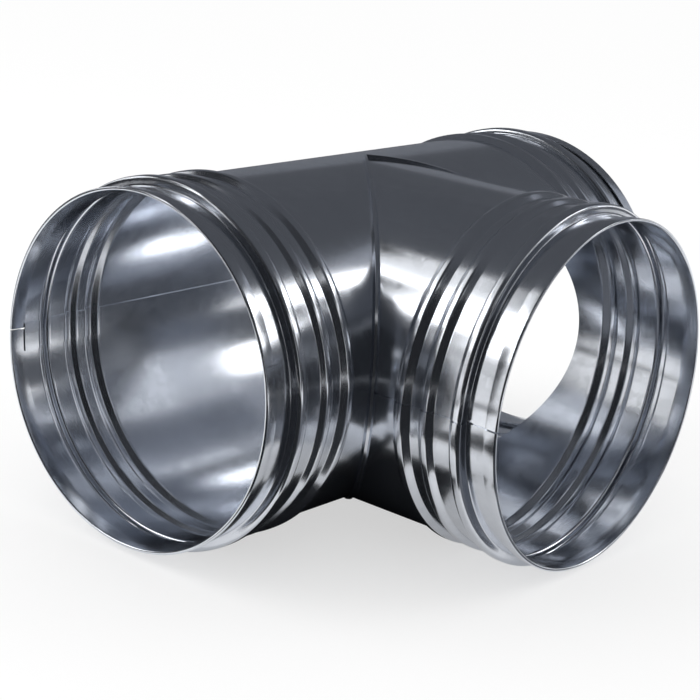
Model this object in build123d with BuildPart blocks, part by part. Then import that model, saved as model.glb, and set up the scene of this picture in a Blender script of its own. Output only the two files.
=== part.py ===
"""Ventilation duct tee: a run and an equal branch at 90 degrees, in beaded sheet steel.

Two rolled sheets make the fitting. The run barrel lies along X and the branch stub leaves it
towards -Y. They meet on two mitre planes, where each sheet turns out into a narrow seam flange.
Every open end is the same collar: three rolled beads and a hemmed lip.
The origin is on the floor, in the middle of the footprint, with +Z up.
"""
import os
from math import degrees, hypot, radians, sqrt, tan

from build123d import *

# Duct system that the collars slide into
duct_bore = 160.0
slide_clearance = 0.4

# Sheet and overall lengths
sheet = 0.6
run_length = 280.0
branch_reach = 140.0

# Beads: places are shares of the collar, from the mouth; every bend has the same inside radius
bead_bend = 1.2

# Grip bead, the largest, nearest to the mouth
grip_bead_place = 0.293
grip_bead_height = 2.8
grip_bead_top = 4.6
grip_bead_slope = 86.0

# Two smaller stiffening beads further in
outer_bead_place = 0.546
outer_bead_height = 1.8
inner_bead_place = 0.744
inner_bead_height = 2.2
small_bead_top = 2.4
small_bead_slope = 38.0

# Lip: a slightly narrower band, flared at its end and hemmed outwards
lip_drop = 1.6
flare_length = 6.0
flare_rise = 0.5
hem_gap = 0.4
hem_return = 5.0

# Lapped seam along each barrel: the inner end shows inside as a strip, the outer end as a fine gap
lap_width = 10.0
lap_gap = 0.8
lap_joggle = 2.0

# Seam flange along the mitre between run and branch
flange_height = 1.6

# Sizes that follow
grip_radius = duct_bore / 2 - slide_clearance
barrel_radius = grip_radius - grip_bead_height
lip_radius = barrel_radius - lip_drop
nose_radius = sheet + hem_gap / 2
flare_slope = flare_rise / hypot(flare_length, flare_rise)
lip_end = flare_length + nose_radius * (1 - flare_slope)
lap_angle = degrees(lap_width / barrel_radius)
gap_angle = degrees(lap_gap / barrel_radius)
joggle_angle = degrees(lap_joggle / barrel_radius)
flange_root = sheet / 4
axis_height = grip_radius
axis_back = (branch_reach - grip_radius) / 2

crossing = Vector(0, axis_back, axis_height)
run_direction = Vector(1, 0, 0)
run_seam = Vector(0, 1, 0)
branch_direction = Vector(0, -1, 0)
branch_seam = Vector(-1, 0, 0)


def wall_corners(length):
    """Corners of the sheet's inside line from the crossing to the flare, bead by bead."""
    collar = length - barrel_radius
    inside = barrel_radius - sheet
    beads = (
        (inner_bead_place, inner_bead_height, small_bead_top, small_bead_slope, 0),
        (outer_bead_place, outer_bead_height, small_bead_top, small_bead_slope, 0),
        (grip_bead_place, grip_bead_height, grip_bead_top, grip_bead_slope, lip_drop),
    )
    corners = [(0, inside)]
    for place, height, top, slope, drop in beads:
        start = length - place * collar - top / 2
        end = start + top
        run = 1 / tan(radians(slope))
        corners += [
            (start - height * run, inside),
            (start, inside + height),
            (end, inside + height),
            (end + (height + drop) * run, inside - drop),
        ]
    return corners + [(length - lip_end, inside - lip_drop)]


def lip_line(length):
    """Flare, rounded nose and folded-back hem, carrying on the inside line of the sheet."""
    root = Vector(length - lip_end, lip_radius - sheet)
    rise = Vector(flare_length, flare_rise).normalized()
    out = Vector(-rise.Y, rise.X)
    front = root + Vector(flare_length, flare_rise)
    fold = front + out * 2 * nose_radius
    Line(root, front)
    ThreePointArc(front, front + out * nose_radius + rise * nose_radius, fold)
    Line(fold, fold - rise * hem_return)


def sheet_section(plane, length, both_ends, lap=False):
    """Section of a barrel's wall with its hem, or of the lapped strip on the inside of it."""
    with BuildSketch(plane) as section:
        with BuildLine():
            FilletPolyline(*wall_corners(length), radius=bead_bend)
            if not lap:
                lip_line(length)
            offset(amount=sheet, side=Side.RIGHT if lap else Side.LEFT)
        make_face()
        if both_ends:
            mirror(about=Plane.YZ)
    return section.sketch


def rolled_barrel(along, seam, length, both_ends):
    """Barrel rolled about its axis, with the seam's gap outside and its lapped strip inside."""
    axis = Axis(crossing, along)

    def turned(angle):
        radial = seam.rotate(Axis((0, 0, 0), along), angle)
        return Plane(origin=crossing, x_dir=along, z_dir=along.cross(radial))

    wall = sheet_section(turned(0), length, both_ends)
    revolve(wall, axis=axis, revolution_arc=360 - gap_angle)
    strip = sheet_section(turned(-gap_angle - lap_angle), length, both_ends, lap=True)
    revolve(strip, axis=axis, revolution_arc=lap_angle + gap_angle + joggle_angle)


def mitre_wedge(mode):
    """Cut away, or keep, the wedge between the two mitre planes, which belongs to the branch."""
    with BuildSketch(Plane.XY) as wedge:
        with Locations((crossing.X, crossing.Y)):
            Polygon((0, 0), (branch_reach, -branch_reach), (-branch_reach, -branch_reach), align=None)
    extrude(wedge.sketch, amount=2 * axis_height, mode=mode)


def seam_flanges(thickness):
    """Flange that stands out along both mitres, on the branch's side if thickness is positive."""
    width = barrel_radius * sqrt(2)
    for side in (1, -1):
        with BuildSketch(Plane(origin=crossing, x_dir=(side, -1, 0), z_dir=(-side, -1, 0))) as flange:
            Ellipse(width + flange_height, barrel_radius + flange_height)
            Ellipse(width - flange_root, barrel_radius - flange_root, mode=Mode.SUBTRACT)
            with Locations((min(thickness, 0), 0)):
                Rectangle(2 * width, 4 * barrel_radius, align=(Align.MIN, Align.CENTER), mode=Mode.INTERSECT)
        extrude(flange.sketch, amount=thickness)


# Run barrel, open at both ends, with the branch's wedge cut out of its front
with BuildPart() as run_barrel:
    rolled_barrel(run_direction, run_seam, run_length / 2, both_ends=True)
    mitre_wedge(Mode.SUBTRACT)
    seam_flanges(-sheet)

# Branch stub, open at its mouth and mitred to the run at its inner end
with BuildPart() as branch_stub:
    rolled_barrel(branch_direction, branch_seam, branch_reach, both_ends=False)
    mitre_wedge(Mode.INTERSECT)
    seam_flanges(sheet)

os.makedirs("parts", exist_ok=True)
for name, piece in (("run_barrel", run_barrel), ("branch_stub", branch_stub)):
    piece.part.label = name
    export_step(piece.part, f"parts/{name}.step")
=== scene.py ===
"""Ventilation duct tee in galvanised sheet steel, photographed in a plain white studio.

The run barrel and the branch stub are rolled again from the sizes of the solids, with fine smooth
walls. Each is one sheet line turned about its axis, given the sheet's thickness and cut on the
mitre planes, with a lapped strip under its seam and a flange along the mitres.
"""

import logging
import math
from dataclasses import dataclass, field
from enum import Enum
from typing import Any, ClassVar, Sequence

import bmesh
import bpy
from mathutils import Matrix, Vector


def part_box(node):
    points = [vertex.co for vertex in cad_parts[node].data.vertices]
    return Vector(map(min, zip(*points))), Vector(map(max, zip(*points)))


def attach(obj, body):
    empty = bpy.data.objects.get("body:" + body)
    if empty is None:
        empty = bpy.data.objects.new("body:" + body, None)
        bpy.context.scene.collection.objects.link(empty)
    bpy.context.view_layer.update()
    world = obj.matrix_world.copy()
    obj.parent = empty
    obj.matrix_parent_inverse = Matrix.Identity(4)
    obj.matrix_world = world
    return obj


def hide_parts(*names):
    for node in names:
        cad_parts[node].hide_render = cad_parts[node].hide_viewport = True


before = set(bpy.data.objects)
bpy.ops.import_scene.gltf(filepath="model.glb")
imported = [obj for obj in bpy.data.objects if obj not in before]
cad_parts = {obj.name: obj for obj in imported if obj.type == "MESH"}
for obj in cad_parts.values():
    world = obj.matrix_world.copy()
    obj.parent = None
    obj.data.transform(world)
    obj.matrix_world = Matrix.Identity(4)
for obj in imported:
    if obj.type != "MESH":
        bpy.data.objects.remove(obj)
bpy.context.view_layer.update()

LOG = logging.getLogger("duct_tee")
MM = 0.001
ON_PLANE = 1e-7
WELD = 1e-6
WHITE = (1.0, 1.0, 1.0, 1.0)


class Ray(Enum):
    """Kinds of ray that a studio card is hidden from, so that only the metal sees it."""

    CAMERA = "visible_camera"
    DIFFUSE = "visible_diffuse"
    TRANSMISSION = "visible_transmission"
    SHADOW = "visible_shadow"


class Signal:
    """A shader value that takes part in plain arithmetic."""

    def __init__(self, graph: "ShaderGraph", socket: bpy.types.NodeSocket) -> None:
        """Keep the socket and the graph that it belongs to."""
        self.graph = graph
        self.socket = socket

    def _math(self, operation: str, first: Any, second: Any) -> "Signal":
        """Add one Math node.

        Args:
            operation: the Math node's operation.
            first: left value, a number or a Signal.
            second: right value, a number or a Signal.

        Returns:
            The node's result.
        """
        return self.graph.add("ShaderNodeMath", {"operation": operation}, {0: first, 1: second})

    def __add__(self, other: Any) -> "Signal":
        """Sum of two values."""
        return self._math("ADD", self, other)

    __radd__ = __add__

    def __sub__(self, other: Any) -> "Signal":
        """Difference of two values."""
        return self._math("SUBTRACT", self, other)

    def __mul__(self, other: Any) -> "Signal":
        """Product of two values."""
        return self._math("MULTIPLY", self, other)

    def above(self, other: Any) -> "Signal":
        """Larger of two values."""
        return self._math("MAXIMUM", self, other)


class ShaderGraph:
    """Adds nodes to one material or world."""

    def __init__(self, tree: bpy.types.NodeTree) -> None:
        """Start from an empty tree."""
        self.tree = tree
        tree.nodes.clear()

    def add(self, kind: str, settings: dict[str, Any] | None = None,
            inputs: dict[Any, Any] | None = None, output: Any = 0) -> Signal:
        """Add a node, set it up and link it.

        Args:
            kind: the node's type name.
            settings: properties that are set before the sockets.
            inputs: values or Signals by socket name or index.
            output: name or index of the socket that is returned.

        Returns:
            The chosen output, or the node's first input where it has no output.
        """
        node = self.tree.nodes.new(kind)
        for name, value in (settings or {}).items():
            setattr(node, name, value)
        for name, value in (inputs or {}).items():
            if isinstance(value, Signal):
                self.tree.links.new(value.socket, node.inputs[name])
            else:
                node.inputs[name].default_value = value
        return Signal(self, node.outputs[output] if node.outputs else node.inputs[0])

    def mix(self, factor: Any, first: Any, second: Any) -> Signal:
        """Mix two colours.

        Args:
            factor: share of the second colour.
            first: colour at 0.
            second: colour at 1.

        Returns:
            The mixed colour.
        """
        return self.add("ShaderNodeMix", {"data_type": "RGBA"},
                        {0: factor, 6: first, 7: second}, output=2)


@dataclass(frozen=True)
class GalvanisedSteel:
    """Bright zinc-coated sheet: pale blue-grey metal with small spangles and rolling streaks."""

    name: str
    bright: tuple[float, float, float, float] = (0.84, 0.868, 0.92, 1.0)
    dull: tuple[float, float, float, float] = (0.67, 0.70, 0.756, 1.0)
    roughness: float = 0.16
    spangle_size: float = 4.0 * MM
    spangle_share: float = 0.2
    spangle_rough: float = 0.04
    streak_pitch: float = 0.5 * MM
    streak_length: float = 60.0 * MM
    streak_share: float = 0.3
    streak_rough: float = 0.04
    smudge_size: float = 30.0 * MM
    smudge_share: float = 0.5
    smudge_rough: float = 0.05
    ripple_size: float = 45.0 * MM
    ripple_depth: float = 0.35 * MM
    ripple_strength: float = 0.15

    def material(self) -> bpy.types.Material:
        """Make the material.

        Returns:
            A metal whose colour, roughness and bump follow spangles, streaks and slight ripples.
        """
        made = bpy.data.materials.new(self.name)
        made.use_nodes = True
        graph = ShaderGraph(made.node_tree)
        place = graph.add("ShaderNodeTexCoord", output="Object")
        spangle = graph.add("ShaderNodeTexVoronoi", {"feature": "F1"},
                            {"Vector": place, "Scale": 1.0 / self.spangle_size}, output="Color")
        grain = graph.add("ShaderNodeSeparateColor", inputs={0: spangle})
        fine, coarse = 1.0 / self.streak_pitch, 1.0 / self.streak_length
        stretched = graph.add("ShaderNodeMapping",
                              inputs={"Vector": place, "Scale": (fine, coarse, coarse)})
        streak = graph.add("ShaderNodeTexNoise",
                           inputs={"Vector": stretched, "Scale": 1.0, "Detail": 3.0})
        smudge = graph.add("ShaderNodeTexNoise",
                           inputs={"Vector": place, "Scale": 1.0 / self.smudge_size, "Detail": 5.0})
        ripple = graph.add("ShaderNodeTexNoise",
                           inputs={"Vector": place, "Scale": 1.0 / self.ripple_size, "Detail": 1.0})
        wear = grain * self.spangle_share + streak * self.streak_share + smudge * self.smudge_share
        colour = graph.mix(wear, self.bright, self.dull)
        roughness = (self.roughness + (grain - 0.5) * self.spangle_rough
                     + (streak - 0.5) * self.streak_rough + (smudge - 0.5) * self.smudge_rough)
        waves = graph.add("ShaderNodeBump", inputs={
            "Strength": self.ripple_strength, "Distance": self.ripple_depth, "Height": ripple})
        surface = graph.add("ShaderNodeBsdfPrincipled", inputs={
            "Base Color": colour, "Metallic": 1.0, "Roughness": roughness, "Normal": waves})
        graph.add("ShaderNodeOutputMaterial", inputs={"Surface": surface})
        return made


@dataclass(frozen=True)
class CollarSizes:
    """Sheet and rolled form that every collar of the fitting shares, in metres."""

    sheet: float = 0.6 * MM
    bead_bend: float = 1.2 * MM
    grip_height: float = 2.8 * MM
    grip_top: float = 4.6 * MM
    grip_slope: float = math.radians(86)
    outer_height: float = 1.8 * MM
    inner_height: float = 2.2 * MM
    small_top: float = 2.4 * MM
    small_slope: float = math.radians(38)
    grip_place: float = 0.293
    outer_place: float = 0.546
    inner_place: float = 0.744
    lip_drop: float = 1.6 * MM
    flare_length: float = 6.0 * MM
    flare_rise: float = 0.5 * MM
    hem_gap: float = 0.4 * MM
    hem_return: float = 5.0 * MM
    lap_width: float = 10.0 * MM
    lap_gap: float = 0.8 * MM
    lap_joggle: float = 2.0 * MM
    lap_fit: float = 0.03 * MM
    flange_height: float = 1.6 * MM
    flange_root: float = 0.15 * MM

    @property
    def nose_radius(self) -> float:
        """Radius of the hem's nose on the inside line of the sheet."""
        return self.sheet + self.hem_gap / 2

    @property
    def flare_heading(self) -> float:
        """Slope of the flare, in radians."""
        return math.atan2(self.flare_rise, self.flare_length)


class SheetPen:
    """Draws a sheet's line in the XZ plane of a bmesh: X along the barrel, Z away from its axis."""

    support = 0.6 * MM
    bend_steps = 5
    nose_steps = 10

    def __init__(self, mesh: bmesh.types.BMesh, x: float, radius: float) -> None:
        """Put the pen down at a place and head along +X."""
        self.mesh = mesh
        self.heading = 0.0
        self.tip = mesh.verts.new((x, 0.0, radius))

    def forward(self, length: float) -> None:
        """Draw a straight stretch."""
        drawn = bmesh.ops.extrude_vert_indiv(self.mesh, verts=[self.tip])
        self.tip = drawn["verts"][0]
        ahead = Vector((math.cos(self.heading), 0.0, math.sin(self.heading)))
        bmesh.ops.translate(self.mesh, vec=ahead * length, verts=[self.tip])

    def flat(self, length: float) -> None:
        """Draw a straight stretch, with a support point near each end of a long one."""
        if length > 3 * self.support:
            self.forward(self.support)
            self.forward(length - 2 * self.support)
            self.forward(self.support)
        else:
            self.forward(length)

    def arc(self, radius: float, turn: float, steps: int) -> None:
        """Draw an arc.

        Args:
            radius: the arc's radius.
            turn: change of heading in radians, positive away from the axis.
            steps: number of straight steps.
        """
        side = math.copysign(radius, turn)
        left = Vector((-math.sin(self.heading), 0.0, math.cos(self.heading)))
        drawn = bmesh.ops.spin(self.mesh, geom=[self.tip], cent=self.tip.co + left * side,
                               axis=(0.0, -1.0, 0.0), angle=turn, steps=steps)
        self.tip = next(item for item in drawn["geom_last"] if isinstance(item, bmesh.types.BMVert))
        self.heading += turn

    def folded(self, corners: Sequence[Vector], bend: float) -> None:
        """Draw straight stretches through the corners, with a rounded bend at each but the last.

        Args:
            corners: places along the barrel and away from its axis.
            bend: radius of the bends.
        """
        headings = [math.atan2(step.y, step.x) for step in
                    (end - start for start, end in zip(corners, corners[1:]))]
        done = 0.0
        for index, (start, end) in enumerate(zip(corners, corners[1:])):
            turn = headings[index + 1] - headings[index] if index + 1 < len(headings) else 0.0
            ahead = bend * math.tan(abs(turn) / 2)
            self.heading = headings[index]
            self.flat((end - start).length - done - ahead)
            if turn:
                self.arc(bend, turn, self.bend_steps)
            done = ahead


@dataclass
class Barrel:
    """One rolled sheet of the fitting, built on its own axis and then set in its place."""

    mitre_side: ClassVar[int]

    node: str
    slot: str
    length: float
    radius: float
    place: Matrix
    finish: bpy.types.Material
    sizes: CollarSizes = field(default_factory=CollarSizes)
    steps: int = 192
    lap_steps: int = 12
    smooth_angle: float = math.radians(24)

    @property
    def inside(self) -> float:
        """Inside radius of the plain barrel."""
        return self.radius - self.sizes.sheet

    def angle(self, width: float) -> float:
        """Angle that a width takes up on the barrel."""
        return width / self.radius

    def draw_wall(self, pen: SheetPen, radius: float) -> None:
        """Draw the wall from the crossing to the lip, bead by bead.

        Args:
            pen: stands at the start of the line.
            radius: inside radius of the plain barrel.
        """
        s = self.sizes
        collar = self.length - self.radius
        beads = ((s.inner_place, s.inner_height, s.small_top, s.small_slope, 0.0),
                 (s.outer_place, s.outer_height, s.small_top, s.small_slope, 0.0),
                 (s.grip_place, s.grip_height, s.grip_top, s.grip_slope, s.lip_drop))
        corners = [Vector((0.0, radius))]
        for share, height, top, slope, drop in beads:
            middle = self.length - share * collar
            rise, fall = height / math.tan(slope), (height + drop) / math.tan(slope)
            corners += [Vector((middle - top / 2 - rise, radius)),
                        Vector((middle - top / 2, radius + height)),
                        Vector((middle + top / 2, radius + height)),
                        Vector((middle + top / 2 + fall, radius - drop))]
        nose = s.nose_radius * (1 - math.sin(s.flare_heading))
        corners.append(Vector((self.length - s.flare_length - nose, radius - s.lip_drop)))
        pen.folded(corners, s.bead_bend)

    def draw_lip(self, pen: SheetPen) -> None:
        """Draw the flared lip, its nose and the hem that is folded back outwards."""
        s = self.sizes
        pen.heading = s.flare_heading
        pen.forward(math.hypot(s.flare_length, s.flare_rise))
        pen.arc(s.nose_radius, math.pi, pen.nose_steps)
        pen.forward(s.hem_return)

    def roll(self, mesh: bmesh.types.BMesh, start: float, sweep: float, steps: int) -> None:
        """Turn the drawn line about the axis.

        Args:
            mesh: holds the line and receives the wall.
            start: angle of the first section from the seam.
            sweep: angle that the wall covers.
            steps: number of steps.
        """
        bmesh.ops.rotate(mesh, cent=(0, 0, 0), matrix=Matrix.Rotation(start, 3, "X"),
                         verts=mesh.verts)
        bmesh.ops.spin(mesh, geom=mesh.verts[:] + mesh.edges[:], cent=(0, 0, 0), axis=(1, 0, 0),
                       angle=sweep, steps=steps)

    def mitre(self, mesh: bmesh.types.BMesh) -> None:
        """Cut a thick wall on the mitre. Each kind of barrel does it its own way."""
        raise NotImplementedError

    @staticmethod
    def cut(mesh: bmesh.types.BMesh, normal: Vector) -> None:
        """Cut on one mitre plane through the crossing and close the cut.

        Args:
            mesh: the thick wall, in its place round the crossing.
            normal: the plane's normal, towards the side that stays.
        """
        everything = mesh.verts[:] + mesh.edges[:] + mesh.faces[:]
        done = bmesh.ops.bisect_plane(mesh, geom=everything, dist=ON_PLANE, plane_co=(0, 0, 0),
                                      plane_no=normal, clear_inner=True)
        rim = [item for item in done["geom_cut"] if isinstance(item, bmesh.types.BMEdge)]
        bmesh.ops.holes_fill(mesh, edges=rim, sides=0)

    def thicken(self, mesh: bmesh.types.BMesh, outwards: bool) -> None:
        """Give the sheet its thickness.

        Args:
            mesh: the single wall, on the barrel's own axis.
            outwards: whether the sheet grows away from the axis.
        """
        bmesh.ops.recalc_face_normals(mesh, faces=mesh.faces)
        probe = max(mesh.faces, key=lambda face: face.calc_area())
        radial = probe.calc_center_median() * Vector((0, 1, 1))
        if (probe.normal.dot(radial) > 0) == outwards:
            bmesh.ops.reverse_faces(mesh, faces=mesh.faces)
        bmesh.ops.solidify(mesh, geom=mesh.faces[:], thickness=self.sizes.sheet)

    def wall(self) -> bmesh.types.BMesh:
        """Roll the wall with its hems, give it its thickness and mitre it.

        Returns:
            The wall, round the crossing.
        """
        mesh = bmesh.new()
        pen = SheetPen(mesh, 0.0, self.inside)
        self.draw_wall(pen, self.inside)
        self.draw_lip(pen)
        self.roll(mesh, 0.0, math.tau - self.angle(self.sizes.lap_gap), self.steps)
        self.thicken(mesh, outwards=True)
        bmesh.ops.transform(mesh, matrix=self.place, verts=mesh.verts)
        self.mitre(mesh)
        return mesh

    def lap_strip(self) -> bmesh.types.BMesh:
        """Roll the inner end of the sheet, which laps under the seam.

        Returns:
            The strip, round the crossing.
        """
        s = self.sizes
        mesh = bmesh.new()
        inside = self.inside - s.lap_fit
        self.draw_wall(SheetPen(mesh, 0.0, inside), inside)
        gap = self.angle(s.lap_gap)
        lap = self.angle(s.lap_width)
        self.roll(mesh, -gap - lap, gap + lap + self.angle(s.lap_joggle), self.lap_steps)
        self.thicken(mesh, outwards=False)
        bmesh.ops.transform(mesh, matrix=self.place, verts=mesh.verts)
        self.mitre(mesh)
        return mesh

    def flange(self) -> bmesh.types.BMesh:
        """Stand the seam flange on both mitres, on this barrel's side of them.

        Returns:
            The flange, round the crossing.
        """
        s = self.sizes
        width = math.sqrt(2) * self.radius
        mesh = bmesh.new()
        first = mesh.verts.new((0, 0, 1))
        bmesh.ops.spin(mesh, geom=[first], cent=(0, 0, 0), axis=(0, 1, 0), angle=math.pi,
                       steps=self.steps // 2)
        root = mesh.verts[:]
        strip = bmesh.ops.extrude_edge_only(mesh, edges=mesh.edges)
        rim = [item for item in strip["geom"] if isinstance(item, bmesh.types.BMVert)]
        bmesh.ops.scale(mesh, vec=(width - s.flange_root, 1, self.radius - s.flange_root),
                        verts=root)
        bmesh.ops.scale(mesh, vec=(width + s.flange_height, 1, self.radius + s.flange_height),
                        verts=rim)
        slab = bmesh.ops.extrude_face_region(mesh, geom=mesh.faces[:], use_keep_orig=True)
        back = [item for item in slab["geom"] if isinstance(item, bmesh.types.BMVert)]
        bmesh.ops.translate(mesh, vec=(0, self.mitre_side * s.sheet, 0), verts=back)
        corner = [v for v in back if abs(v.co.x) < s.sheet]
        bmesh.ops.translate(mesh, vec=(-self.mitre_side * s.sheet, 0, 0), verts=corner)
        bmesh.ops.rotate(mesh, cent=(0, 0, 0), matrix=Matrix.Rotation(-math.pi / 4, 3, "Z"),
                         verts=mesh.verts)
        ends = [face for face in mesh.faces if all(abs(v.co.x) < ON_PLANE for v in face.verts)]
        bmesh.ops.delete(mesh, geom=ends, context="FACES")
        bmesh.ops.mirror(mesh, geom=mesh.verts[:] + mesh.edges[:] + mesh.faces[:], matrix=Matrix(),
                         merge_dist=WELD, axis="X")
        bmesh.ops.recalc_face_normals(mesh, faces=mesh.faces)
        return mesh

    def build(self, crossing: Vector) -> bpy.types.Object:
        """Make the piece and dress it.

        Args:
            crossing: the point where the axes of run and branch cross.

        Returns:
            The piece, riding in place of its solid.
        """
        data = bpy.data.meshes.new(self.node)
        whole = bmesh.new()
        for part in (self.wall(), self.lap_strip(), self.flange()):
            part.to_mesh(data)
            part.free()
            whole.from_mesh(data)
        bmesh.ops.translate(whole, vec=crossing, verts=whole.verts)
        whole.to_mesh(data)
        whole.free()
        data.shade_smooth()
        data.set_sharp_from_angle(angle=self.smooth_angle)
        data.materials.append(self.finish)
        piece = bpy.data.objects.new(f"{self.node}_sheet", data)
        bpy.context.scene.collection.objects.link(piece)
        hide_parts(self.node)
        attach(piece, "root")
        LOG.info("%s: %d faces", piece.name, len(data.polygons))
        return piece


class RunBarrel(Barrel):
    """The straight barrel, open at both ends."""

    mitre_side = 1

    def mitre(self, mesh: bmesh.types.BMesh) -> None:
        """Cut the right half on its mitre, then mirror it to the left."""
        self.cut(mesh, Vector((1, 1, 0)).normalized())
        middle = [face for face in mesh.faces if all(abs(v.co.x) < WELD for v in face.verts)]
        bmesh.ops.delete(mesh, geom=middle, context="FACES")
        bmesh.ops.mirror(mesh, geom=mesh.verts[:] + mesh.edges[:] + mesh.faces[:], matrix=Matrix(),
                         merge_dist=WELD, axis="X")
        bmesh.ops.recalc_face_normals(mesh, faces=mesh.faces)


class BranchStub(Barrel):
    """The branch, mitred on both sides at its inner end."""

    mitre_side = -1

    def mitre(self, mesh: bmesh.types.BMesh) -> None:
        """Cut on both mitre planes."""
        for side in (1, -1):
            self.cut(mesh, Vector((side, -1, 0)).normalized())
        bmesh.ops.recalc_face_normals(mesh, faces=mesh.faces)


@dataclass
class DuctTee:
    """The whole fitting, with its sizes read from the solids."""

    finish: bpy.types.Material
    sizes: CollarSizes = field(default_factory=CollarSizes)

    def __post_init__(self) -> None:
        """Read the reaches and radii from the frame."""
        low, high = (Vector(corner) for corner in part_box("run_barrel"))
        branch_low, _ = (Vector(corner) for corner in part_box("branch_stub"))
        grip_radius = (high.z - low.z) / 2
        self.radius = grip_radius - self.sizes.grip_height
        self.crossing = Vector(((low.x + high.x) / 2, high.y - grip_radius, low.z + grip_radius))
        self.run_reach = high.x - self.crossing.x
        self.branch_reach = self.crossing.y - branch_low.y

    @staticmethod
    def lie(along: Vector, seam: Vector) -> Matrix:
        """Turn from a barrel's own axes to the fitting's.

        Args:
            along: direction of the barrel's axis.
            seam: direction from the axis to the lapped seam.

        Returns:
            The turn, as a matrix.
        """
        return Matrix((along, seam.cross(along), seam)).transposed().to_4x4()

    def build(self) -> list[bpy.types.Object]:
        """Build both pieces.

        Returns:
            The run barrel and the branch stub.
        """
        run = RunBarrel("run_barrel", "run_sheet", self.run_reach, self.radius,
                        self.lie(Vector((1, 0, 0)), Vector((0, 1, 0))), self.finish, self.sizes)
        branch = BranchStub("branch_stub", "branch_sheet", self.branch_reach, self.radius,
                            self.lie(Vector((0, -1, 0)), Vector((-1, 0, 0))),
                            self.finish, self.sizes)
        return [run.build(self.crossing), branch.build(self.crossing)]


@dataclass(frozen=True)
class Card:
    """A flat card or lamp that hangs round the fitting and faces it.

    Azimuth is 0 towards the back and 90 towards the right, elevation is above the crossing.
    """

    name: str
    azimuth: float
    elevation: float
    distance: float
    width: float
    height: float
    level: float

    def direction(self) -> Vector:
        """Direction from the fitting to the card."""
        turn, rise = math.radians(self.azimuth), math.radians(self.elevation)
        return Vector((math.sin(turn) * math.cos(rise), math.cos(turn) * math.cos(rise),
                       math.sin(rise)))


@dataclass(frozen=True)
class FloorCard:
    """A dark card that lies on the floor, with the places of its four sides; it darkens the floor
    that only the metal mirrors.
    """

    name: str
    left: float
    front: float
    right: float
    back: float
    level: float


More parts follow.
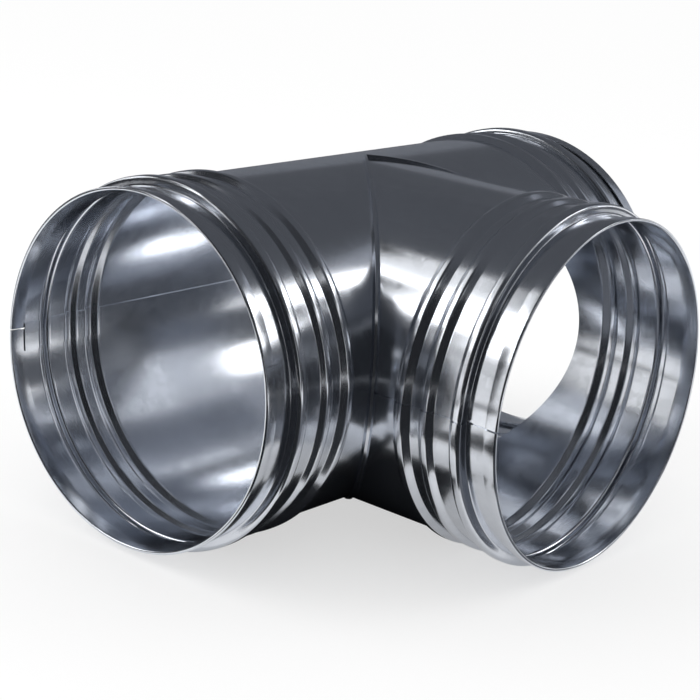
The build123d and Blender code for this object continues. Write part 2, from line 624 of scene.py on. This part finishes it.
@dataclass
class Studio:
    """White room with a pale floor, soft lamps, dark cards, small flags and the camera."""

    crossing: Vector
    softboxes: tuple[Card, ...] = (
        Card("softbox_left_back", -45.5, 34, 1.2, 0.90, 0.52, 1.9),
        Card("softbox_right_front", 130, 26, 1.2, 0.38, 0.445, 2.8),
    )
    dark_cards: tuple[Card, ...] = (
        Card("card_top", 110, 80, 0.6, 1.1, 0.9, 0.085),
        Card("card_right_back", 55, 44, 0.8, 1.4, 0.70, 0.085),
        Card("card_right", 113, 42, 0.85, 0.26, 0.55, 0.30),
        Card("card_right_back_low", 43, 5, 0.9, 1.68, 0.52, 0.16),
        Card("card_left", -98, 14, 0.8, 0.85, 0.95, 0.02),
        Card("card_left_high", -100, 56, 0.7, 0.7, 0.5, 0.04),
        Card("card_camera", -140, 16, 1.0, 0.8, 0.9, 0.02),
        Card("card_front", 174, 8, 0.9, 0.62, 0.62, 0.06),
        Card("card_front_high", 180, 48, 0.9, 0.9, 0.5, 0.06),
        Card("card_left_back_high", -68, 42, 1.1, 0.30, 0.42, 0.03),
        Card("card_left_back_low", -32, 9, 1.15, 1.17, 0.52, 0.03),
        Card("card_right_front_low", 133, 6, 1.1, 0.85, 0.36, 0.10),
    )
    flags: tuple[Card, ...] = (
        Card("flag_left_collar", -66, 25, 0.49, 0.08, 0.085, 0.03),
        Card("flag_left_rim", -53, 36, 0.36, 0.12, 0.13, 0.03),
        Card("flag_far_collar", -36, 52, 0.28, 0.10, 0.10, 0.03),
        Card("flag_branch_collar", 142, 28, 0.41, 0.11, 0.10, 0.08),
    )
    # Dark floor cards that only the metal sees. The one right under the fitting is painted shadow:
    # it stands in for the fitting's shadow on the floor, as the metal mirrors it.
    floor_cards: tuple[FloorCard, ...] = (
        FloorCard("card_shadow_under", -0.11, -0.055, 0.10, 0.15, 0.035),
        FloorCard("card_floor_right", 0.13, -0.28, 0.42, 0.02, 0.25),
        FloorCard("card_floor_left", -0.80, 0.20, -0.33, 0.70, 0.03),
        FloorCard("card_floor_front", -0.75, -0.75, -0.163, 0.01, 0.02),
        FloorCard("card_floor_middle", -0.163, -0.75, -0.105, -0.065, 0.03),
        FloorCard("card_floor_mouth", -0.105, -0.45, 0.06, -0.115, 0.15),
    )
    card_tint: tuple[float, float, float] = (0.93, 0.98, 1.10)
    card_lift: float = 0.5 * MM
    floor_size: float = 12.0
    floor_colour: tuple[float, float, float, float] = (0.95, 0.95, 0.95, 1.0)
    floor_glow: float = 0.6
    floor_gleam: float = 0.35
    azimuth: float = math.radians(-50.76)
    elevation: float = math.radians(15.65)
    roll: float = math.radians(4.71)
    distance: float = 0.8597
    focal_px: float = 1844.4
    image_px: float = 700.0
    sensor: float = 36.0
    aim_px: tuple[float, float] = (1.26, -30.19)

    def camera(self) -> bpy.types.Object:
        """Set the camera at the photograph's viewing angle.

        Returns:
            The camera.
        """
        toward = Vector((math.sin(self.azimuth) * math.cos(self.elevation),
                         -math.cos(self.azimuth) * math.cos(self.elevation),
                         math.sin(self.elevation)))
        right = (-toward).cross(Vector((0, 0, 1))).normalized()
        up = right.cross(-toward)
        turn = Matrix.Rotation(self.roll, 3, toward)
        right, up = turn @ right, turn @ up
        lens = bpy.data.cameras.new("camera")
        lens.sensor_width = self.sensor
        lens.lens = self.focal_px / self.image_px * self.sensor
        eye = bpy.data.objects.new("camera", lens)
        place = Matrix((right, up, toward)).transposed().to_4x4()
        tilt = Matrix.Rotation(math.atan2(self.aim_px[1], self.focal_px), 4, "X")
        pan = Matrix.Rotation(math.atan2(self.aim_px[0], self.focal_px), 4, "Y")
        stand = Matrix.Translation(self.crossing + toward * self.distance)
        eye.matrix_world = stand @ place @ tilt @ pan
        bpy.context.scene.collection.objects.link(eye)
        bpy.context.scene.camera = eye
        return eye

    def world(self) -> None:
        """Light the room evenly in white."""
        room = bpy.data.worlds.new("studio")
        room.use_nodes = True
        graph = ShaderGraph(room.node_tree)
        light = graph.add("ShaderNodeBackground", inputs={"Color": WHITE, "Strength": 1.0})
        graph.add("ShaderNodeOutputWorld", inputs={"Surface": light})
        bpy.context.scene.world = room

    def hang_softbox(self, card: Card) -> bpy.types.Object:
        """Hang a soft lamp.

        Args:
            card: the lamp's place and size; its level is the brightness that the metal reflects.

        Returns:
            The lamp.
        """
        lamp = bpy.data.lights.new(card.name, "AREA")
        lamp.shape = "RECTANGLE"
        lamp.size, lamp.size_y = card.width, card.height
        lamp.energy = card.level * math.pi * card.width * card.height
        hung = bpy.data.objects.new(card.name, lamp)
        turn = card.direction().to_track_quat("Z", "Y").to_matrix().to_4x4()
        place = Matrix.Translation(self.crossing + card.direction() * card.distance)
        hung.matrix_world = place @ turn
        bpy.context.scene.collection.objects.link(hung)
        return hung

    def paint(self, name: str, level: float) -> bpy.types.Material:
        """Mix a card's matt paint.

        Args:
            name: the paint's name.
            level: its grey level, before the cards' tint.

        Returns:
            The paint.
        """
        made = bpy.data.materials.new(name)
        made.use_nodes = True
        graph = ShaderGraph(made.node_tree)
        colour = (*(level * part for part in self.card_tint), 1.0)
        matt = graph.add("ShaderNodeBsdfDiffuse", inputs={"Color": colour})
        graph.add("ShaderNodeOutputMaterial", inputs={"Surface": matt})
        return made

    def hide_from_room(self, card: bpy.types.Object) -> None:
        """Let only the metal see a card."""
        for ray in Ray:
            setattr(card, ray.value, False)

    def hang_dark_card(self, card: Card) -> bpy.types.Object:
        """Hang a dark card that only the metal sees.

        Args:
            card: the card's place, size and grey level.

        Returns:
            The card.
        """
        toward = card.direction()
        hung = self.sheet(card.name, self.crossing + toward * card.distance, toward,
                          card.width, card.height)
        hung.data.materials.append(self.paint(card.name, card.level))
        self.hide_from_room(hung)
        return hung

    def lay_floor_card(self, card: FloorCard) -> bpy.types.Object:
        """Lay a card on the floor, which only the metal sees.

        Args:
            card: the card's sides and grey level.

        Returns:
            The card.
        """
        middle = Vector(((card.left + card.right) / 2, (card.front + card.back) / 2,
                         self.card_lift))
        laid = self.sheet(card.name, middle, Vector((0, 0, 1)),
                          card.right - card.left, card.back - card.front)
        laid.data.materials.append(self.paint(card.name, card.level))
        self.hide_from_room(laid)
        return laid

    @staticmethod
    def sheet(name: str, centre: Vector, normal: Vector,
              width: float, height: float) -> bpy.types.Object:
        """Make a flat card.

        Args:
            name: the card's name.
            centre: its middle.
            normal: the direction that it faces.
            width: its size across.
            height: its size upwards.

        Returns:
            The card.
        """
        mesh = bmesh.new()
        bmesh.ops.create_grid(mesh, x_segments=1, y_segments=1, size=0.5)
        size = Matrix.Diagonal((width, height, 1.0, 1.0))
        turn = normal.to_track_quat("Z", "Y").to_matrix().to_4x4()
        bmesh.ops.transform(mesh, matrix=Matrix.Translation(centre) @ turn @ size, verts=mesh.verts)
        data = bpy.data.meshes.new(name)
        mesh.to_mesh(data)
        mesh.free()
        card = bpy.data.objects.new(name, data)
        bpy.context.scene.collection.objects.link(card)
        return card

    def floor_paint(self) -> bpy.types.Material:
        """Mix the floor's paint.

        Returns:
            A matt white that glows in part for the camera and the metal, so its shadow stays light.
        """
        made = bpy.data.materials.new("floor_white")
        made.use_nodes = True
        graph = ShaderGraph(made.node_tree)
        camera, glossy, through = (graph.add("ShaderNodeLightPath", output=f"Is {kind} Ray")
                                   for kind in ("Camera", "Glossy", "Transmission"))
        shown = camera.above(through).above(glossy * self.floor_gleam)
        matt = graph.add("ShaderNodeBsdfDiffuse", inputs={"Color": self.floor_colour})
        glow = graph.add("ShaderNodeEmission", inputs={"Color": WHITE, "Strength": 1.0})
        mixed = graph.add("ShaderNodeMixShader",
                          inputs={0: shown * self.floor_glow, 1: matt, 2: glow})
        graph.add("ShaderNodeOutputMaterial", inputs={"Surface": mixed})
        return made

    def floor(self) -> bpy.types.Object:
        """Lay the pale floor.

        Returns:
            The floor.
        """
        ground = self.sheet("floor", Vector((0, 0, 0)), Vector((0, 0, 1)),
                            self.floor_size, self.floor_size)
        ground.data.materials.append(self.floor_paint())
        return ground

    def build(self) -> None:
        """Set up the whole studio."""
        self.world()
        self.floor()
        for laid in self.floor_cards:
            self.lay_floor_card(laid)
        for card in self.softboxes:
            self.hang_softbox(card)
        for card in self.dark_cards + self.flags:
            self.hang_dark_card(card)
        self.camera()


def main() -> None:
    """Build the fitting and the studio, and note the size of both models."""
    logging.basicConfig(level=logging.INFO, format="%(name)s %(message)s")
    finish = GalvanisedSteel("galvanised_steel").material()
    tee = DuctTee(finish)
    tee.build()
    Studio(tee.crossing).build()
    bpy.context.scene.view_settings.view_transform = "Standard"


if __name__ == "__main__":
    main()
